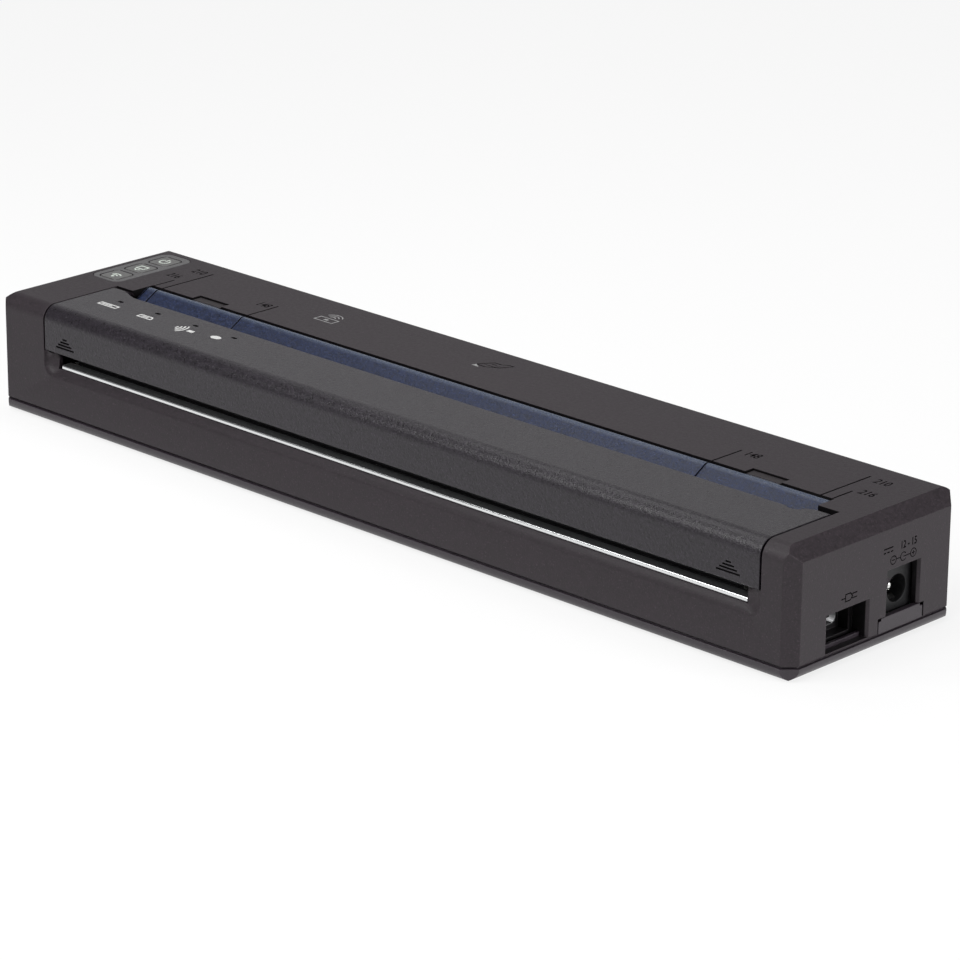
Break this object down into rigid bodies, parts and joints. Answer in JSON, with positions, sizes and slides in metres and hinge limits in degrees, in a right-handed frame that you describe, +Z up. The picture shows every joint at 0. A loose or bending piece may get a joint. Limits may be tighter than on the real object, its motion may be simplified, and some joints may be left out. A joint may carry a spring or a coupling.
{
  "type": "portable thermal printer",
  "caption": "Slim A4 portable thermal printer with a lift-up release cover, rear feed slot, front exit slot with tear bar, a key panel and end sockets.",
  "frame": {"origin": "middle of the footprint, on the surface that the printer's feet stand on", "axes": "+X along the width towards the socket end, +Y from the exit side to the rear, +Z up"},
  "size_m": [0.255, 0.055, 0.03],
  "materials": {
    "case_upper": "fine spark texture, brown-black",
    "case_lower": "fine spark texture, slightly glossier",
    "release_cover": "fine spark texture, charcoal",
    "feed_guide": "satin dark blue with metallic flecks",
    "steel": "satin",
    "panel": "semi gloss",
    "circuit_board": "solder mask",
    "lamp": "clear",
    "gear_plastic": "moulded acetal",
    "platen_rubber": "ground rubber",
    "motor_can": "plated",
    "brass": "satin",
    "head_aluminium": "extruded",
    "ceramic": "glazed",
    "black_plastic": "moulded",
    "battery_wrap": "shrink wrap",
    "copper": "lacquered",
    "jack_plastic": "moulded",
    "contact_metal": "plated",
    "key_plastic": "semi gloss",
    "foot_rubber": "moulded"
  },
  "bodies": {
    "housing": {"upper_case": "case_upper", "lower_case": "case_lower", "feed_guide": "feed_guide", "tear_bar": "steel", "control_panel": "panel", "cover_hinge_pins": "steel", "left_frame": "steel", "platen_bushes": "gear_plastic", "gear_post": "steel", "motor_body": "motor_can", "head_pivot_pin": "steel", "head_springs": "steel", "battery_pack": "battery_wrap", "battery_contacts": "brass", "battery_door_pins": "steel", "main_board": "circuit_board", "wireless_module": "motor_can", "contactless_antenna": "copper", "port_board": "circuit_board", "usb_socket": "steel", "usb_tongue": "black_plastic", "dc_jack": "jack_plastic", "dc_contacts": "contact_metal", "key_board": "circuit_board", "key_switches": "motor_can", "paper_sensor": "black_plastic", "case_screws": "steel", "board_screws": "steel", "rubber_feet": "foot_rubber"},
    "release_cover": {"release_cover": "release_cover", "indicator_board": "circuit_board", "indicator_lamps": "lamp"},
    "platen": {"platen_rubber": "platen_rubber", "platen_shaft": "steel", "platen_gear": "gear_plastic"},
    "reduction_gear": {"reduction_gear": "gear_plastic"},
    "motor_rotor": {"motor_shaft": "steel", "motor_pinion": "brass"},
    "print_head": {"head_bracket": "head_aluminium", "head_ceramic": "ceramic", "head_driver_cover": "black_plastic"},
    "battery_door": {"battery_door": "case_lower"},
    "power_key": {"key_power": "key_plastic"},
    "feed_key": {"key_feed": "key_plastic"},
    "wireless_key": {"key_wireless": "key_plastic"}
  },
  "joints": [
    {"name": "cover_hinge", "type": "hinge", "parent": "housing", "child": "release_cover", "pos_m": [0.00415, -0.0056, 0.0276], "axis": [-1, 0, 0], "range_deg": [0, 70]},
    {"name": "head_swing", "type": "hinge", "parent": "housing", "child": "print_head", "pos_m": [0.00415, -0.0105, 0.0095], "axis": [1, 0, 0], "range_deg": [0, 4], "deforming": ["head_springs"]},
    {"name": "platen_spin", "type": "hinge", "parent": "housing", "child": "platen", "pos_m": [0, -0.0175, 0.0213], "axis": [1, 0, 0], "continuous": true},
    {"name": "reduction_spin", "type": "hinge", "parent": "housing", "child": "reduction_gear", "pos_m": [-0.118, -0.00943, 0.01719], "axis": [1, 0, 0], "continuous": true},
    {"name": "motor_spin", "type": "hinge", "parent": "housing", "child": "motor_rotor", "pos_m": [-0.118, 0.00014, 0.01272], "axis": [1, 0, 0], "continuous": true},
    {"name": "battery_door_hinge", "type": "hinge", "parent": "housing", "child": "battery_door", "pos_m": [0.01, 0.0236, 0.00145], "axis": [1, 0, 0], "range_deg": [0, 90]},
    {"name": "power_key_press", "type": "slide", "parent": "housing", "child": "power_key", "axis": [0, 0, -1], "range_m": [0, 0.0005], "stiffness_N_per_m": 300, "springref_m": -0.0005},
    {"name": "feed_key_press", "type": "slide", "parent": "housing", "child": "feed_key", "axis": [0, 0, -1], "range_m": [0, 0.0005], "stiffness_N_per_m": 300, "springref_m": -0.0005},
    {"name": "wireless_key_press", "type": "slide", "parent": "housing", "child": "wireless_key", "axis": [0, 0, -1], "range_m": [0, 0.0005], "stiffness_N_per_m": 300, "springref_m": -0.0005}
  ],
  "couplings": [
    {"joint": "head_swing", "follows": "cover_hinge", "ratio": 0.0571},
    {"joint": "reduction_spin", "follows": "platen_spin", "ratio": -2},
    {"joint": "motor_spin", "follows": "platen_spin", "ratio": 5}
  ]
}
